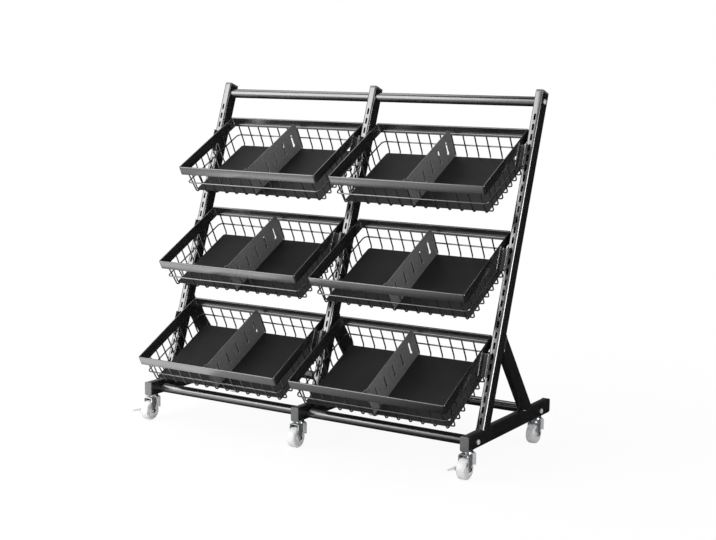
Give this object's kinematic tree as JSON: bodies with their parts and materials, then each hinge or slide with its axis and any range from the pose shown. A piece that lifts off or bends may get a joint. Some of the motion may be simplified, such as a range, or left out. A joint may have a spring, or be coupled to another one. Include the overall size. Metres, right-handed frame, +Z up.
{
  "type": "rolling produce display rack",
  "caption": "Black steel display rack on swivel casters, with tiers of tilted wire baskets hooked onto leaning slotted uprights, for loose fruit and vegetables.",
  "frame": {"origin": "on the floor under the middle of the bounding box", "axes": "+X to the right along the rack as seen from the front, +Y to the rear, +Z up"},
  "size_m": [1.3536, 0.7114, 1.2244],
  "materials": {
    "black_powder_coat": "semi-gloss black powder coat",
    "plug_plastic": "moulded black plastic",
    "mat": "matte black sheet",
    "zinc_steel": "bright zinc plate",
    "wheel_nylon": "white moulded plastic",
    "pedal_plastic": "pale grey moulded plastic"
  },
  "bodies": {
    "frame": {"base_rail_left": "black_powder_coat", "base_rail_middle": "black_powder_coat", "base_rail_right": "black_powder_coat", "brace_left": "black_powder_coat", "brace_middle": "black_powder_coat", "brace_right": "black_powder_coat", "caster_stem_front_left": "zinc_steel", "caster_stem_front_middle": "zinc_steel", "caster_stem_front_right": "zinc_steel", "caster_stem_rear_left": "zinc_steel", "caster_stem_rear_middle": "zinc_steel", "caster_stem_rear_right": "zinc_steel", "front_bar_left": "black_powder_coat", "front_bar_right": "black_powder_coat", "rail_cap_left": "plug_plastic", "rail_cap_middle": "plug_plastic", "rail_cap_right": "plug_plastic", "rear_bar_left": "black_powder_coat", "rear_bar_right": "black_powder_coat", "top_bar_left": "black_powder_coat", "top_bar_right": "black_powder_coat", "upright_cap_left": "plug_plastic", "upright_cap_middle": "plug_plastic", "upright_cap_right": "plug_plastic", "upright_left": "black_powder_coat", "upright_middle": "black_powder_coat", "upright_right": "black_powder_coat"},
    "basket_low_left": {"basket_low_left": "black_powder_coat", "mat_low_left": "mat"},
    "divider_low_left": {"divider_low_left": "black_powder_coat"},
    "basket_low_right": {"basket_low_right": "black_powder_coat", "mat_low_right": "mat"},
    "divider_low_right": {"divider_low_right": "black_powder_coat"},
    "basket_mid_left": {"basket_mid_left": "black_powder_coat", "mat_mid_left": "mat"},
    "divider_mid_left": {"divider_mid_left": "black_powder_coat"},
    "basket_mid_right": {"basket_mid_right": "black_powder_coat", "mat_mid_right": "mat"},
    "divider_mid_right": {"divider_mid_right": "black_powder_coat"},
    "basket_top_left": {"basket_top_left": "black_powder_coat", "mat_top_left": "mat"},
    "divider_top_left": {"divider_top_left": "black_powder_coat"},
    "basket_top_right": {"basket_top_right": "black_powder_coat", "mat_top_right": "mat"},
    "divider_top_right": {"divider_top_right": "black_powder_coat"},
    "caster_front_left": {"caster_fork_front_left": "zinc_steel"},
    "wheel_front_left": {"caster_wheel_front_left": "wheel_nylon"},
    "caster_front_middle": {"caster_fork_front_middle": "zinc_steel"},
    "wheel_front_middle": {"caster_wheel_front_middle": "wheel_nylon"},
    "caster_front_right": {"caster_fork_front_right": "zinc_steel"},
    "wheel_front_right": {"caster_wheel_front_right": "wheel_nylon"},
    "caster_rear_left": {"caster_fork_rear_left": "zinc_steel"},
    "wheel_rear_left": {"caster_wheel_rear_left": "wheel_nylon"},
    "caster_rear_middle": {"caster_fork_rear_middle": "zinc_steel"},
    "wheel_rear_middle": {"caster_wheel_rear_middle": "wheel_nylon"},
    "caster_rear_right": {"caster_fork_rear_right": "zinc_steel"},
    "wheel_rear_right": {"caster_wheel_rear_right": "wheel_nylon"},
    "pedal_front_left": {"brake_pedal_front_left": "pedal_plastic"},
    "pedal_front_right": {"brake_pedal_front_right": "pedal_plastic"}
  },
  "joints": [
    {"name": "basket_lift_low_left", "type": "slide", "parent": "frame", "child": "basket_low_left", "axis": [0, 0.3289, 0.9444], "range_m": [0, 0.011]},
    {"name": "divider_slide_low_left", "type": "slide", "parent": "basket_low_left", "child": "divider_low_left", "axis": [1, 0, 0], "range_m": [-0.2, 0.2]},
    {"name": "basket_lift_low_right", "type": "slide", "parent": "frame", "child": "basket_low_right", "axis": [0, 0.3289, 0.9444], "range_m": [0, 0.011]},
    {"name": "divider_slide_low_right", "type": "slide", "parent": "basket_low_right", "child": "divider_low_right", "axis": [1, 0, 0], "range_m": [-0.2, 0.2]},
    {"name": "basket_lift_mid_left", "type": "slide", "parent": "frame", "child": "basket_mid_left", "axis": [0, 0.3289, 0.9444], "range_m": [0, 0.011]},
    {"name": "divider_slide_mid_left", "type": "slide", "parent": "basket_mid_left", "child": "divider_mid_left", "axis": [1, 0, 0], "range_m": [-0.2, 0.2]},
    {"name": "basket_lift_mid_right", "type": "slide", "parent": "frame", "child": "basket_mid_right", "axis": [0, 0.3289, 0.9444], "range_m": [0, 0.011]},
    {"name": "divider_slide_mid_right", "type": "slide", "parent": "basket_mid_right", "child": "divider_mid_right", "axis": [1, 0, 0], "range_m": [-0.2, 0.2]},
    {"name": "basket_lift_top_left", "type": "slide", "parent": "frame", "child": "basket_top_left", "axis": [0, 0.3289, 0.9444], "range_m": [0, 0.011]},
    {"name": "divider_slide_top_left", "type": "slide", "parent": "basket_top_left", "child": "divider_top_left", "axis": [1, 0, 0], "range_m": [-0.2, 0.2]},
    {"name": "basket_lift_top_right", "type": "slide", "parent": "frame", "child": "basket_top_right", "axis": [0, 0.3289, 0.9444], "range_m": [0, 0.011]},
    {"name": "divider_slide_top_right", "type": "slide", "parent": "basket_top_right", "child": "divider_top_right", "axis": [1, 0, 0], "range_m": [-0.2, 0.2]},
    {"name": "caster_swivel_front_left", "type": "hinge", "parent": "frame", "child": "caster_front_left", "pos_m": [-0.65, -0.2293, 0], "axis": [0, 0, 1], "continuous": true},
    {"name": "wheel_spin_front_left", "type": "hinge", "parent": "caster_front_left", "child": "wheel_front_left", "pos_m": [-0.65, -0.2553, 0.035], "axis": [1, 0, 0], "continuous": true},
    {"name": "caster_swivel_front_middle", "type": "hinge", "parent": "frame", "child": "caster_front_middle", "pos_m": [0, -0.2293, 0], "axis": [0, 0, 1], "continuous": true},
    {"name": "wheel_spin_front_middle", "type": "hinge", "parent": "caster_front_middle", "child": "wheel_front_middle", "pos_m": [0, -0.2553, 0.035], "axis": [1, 0, 0], "continuous": true},
    {"name": "caster_swivel_front_right", "type": "hinge", "parent": "frame", "child": "caster_front_right", "pos_m": [0.65, -0.2293, 0], "axis": [0, 0, 1], "continuous": true},
    {"name": "wheel_spin_front_right", "type": "hinge", "parent": "caster_front_right", "child": "wheel_front_right", "pos_m": [0.65, -0.2553, 0.035], "axis": [1, 0, 0], "continuous": true},
    {"name": "caster_swivel_rear_left", "type": "hinge", "parent": "frame", "child": "caster_rear_left", "pos_m": [-0.65, 0.2887, 0], "axis": [0, 0, 1], "continuous": true},
    {"name": "wheel_spin_rear_left", "type": "hinge", "parent": "caster_rear_left", "child": "wheel_rear_left", "pos_m": [-0.65, 0.2627, 0.035], "axis": [1, 0, 0], "continuous": true},
    {"name": "caster_swivel_rear_middle", "type": "hinge", "parent": "frame", "child": "caster_rear_middle", "pos_m": [0, 0.2887, 0], "axis": [0, 0, 1], "continuous": true},
    {"name": "wheel_spin_rear_middle", "type": "hinge", "parent": "caster_rear_middle", "child": "wheel_rear_middle", "pos_m": [0, 0.2627, 0.035], "axis": [1, 0, 0], "continuous": true},
    {"name": "caster_swivel_rear_right", "type": "hinge", "parent": "frame", "child": "caster_rear_right", "pos_m": [0.65, 0.2887, 0], "axis": [0, 0, 1], "continuous": true},
    {"name": "wheel_spin_rear_right", "type": "hinge", "parent": "caster_rear_right", "child": "wheel_rear_right", "pos_m": [0.65, 0.2627, 0.035], "axis": [1, 0, 0], "continuous": true},
    {"name": "brake_press_front_left", "type": "hinge", "parent": "caster_front_left", "child": "pedal_front_left", "pos_m": [-0.65, -0.2553, 0.035], "axis": [1, 0, 0], "range_deg": [0, 14]},
    {"name": "brake_press_front_right", "type": "hinge", "parent": "caster_front_right", "child": "pedal_front_right", "pos_m": [0.65, -0.2553, 0.035], "axis": [1, 0, 0], "range_deg": [0, 14]}
  ]
}
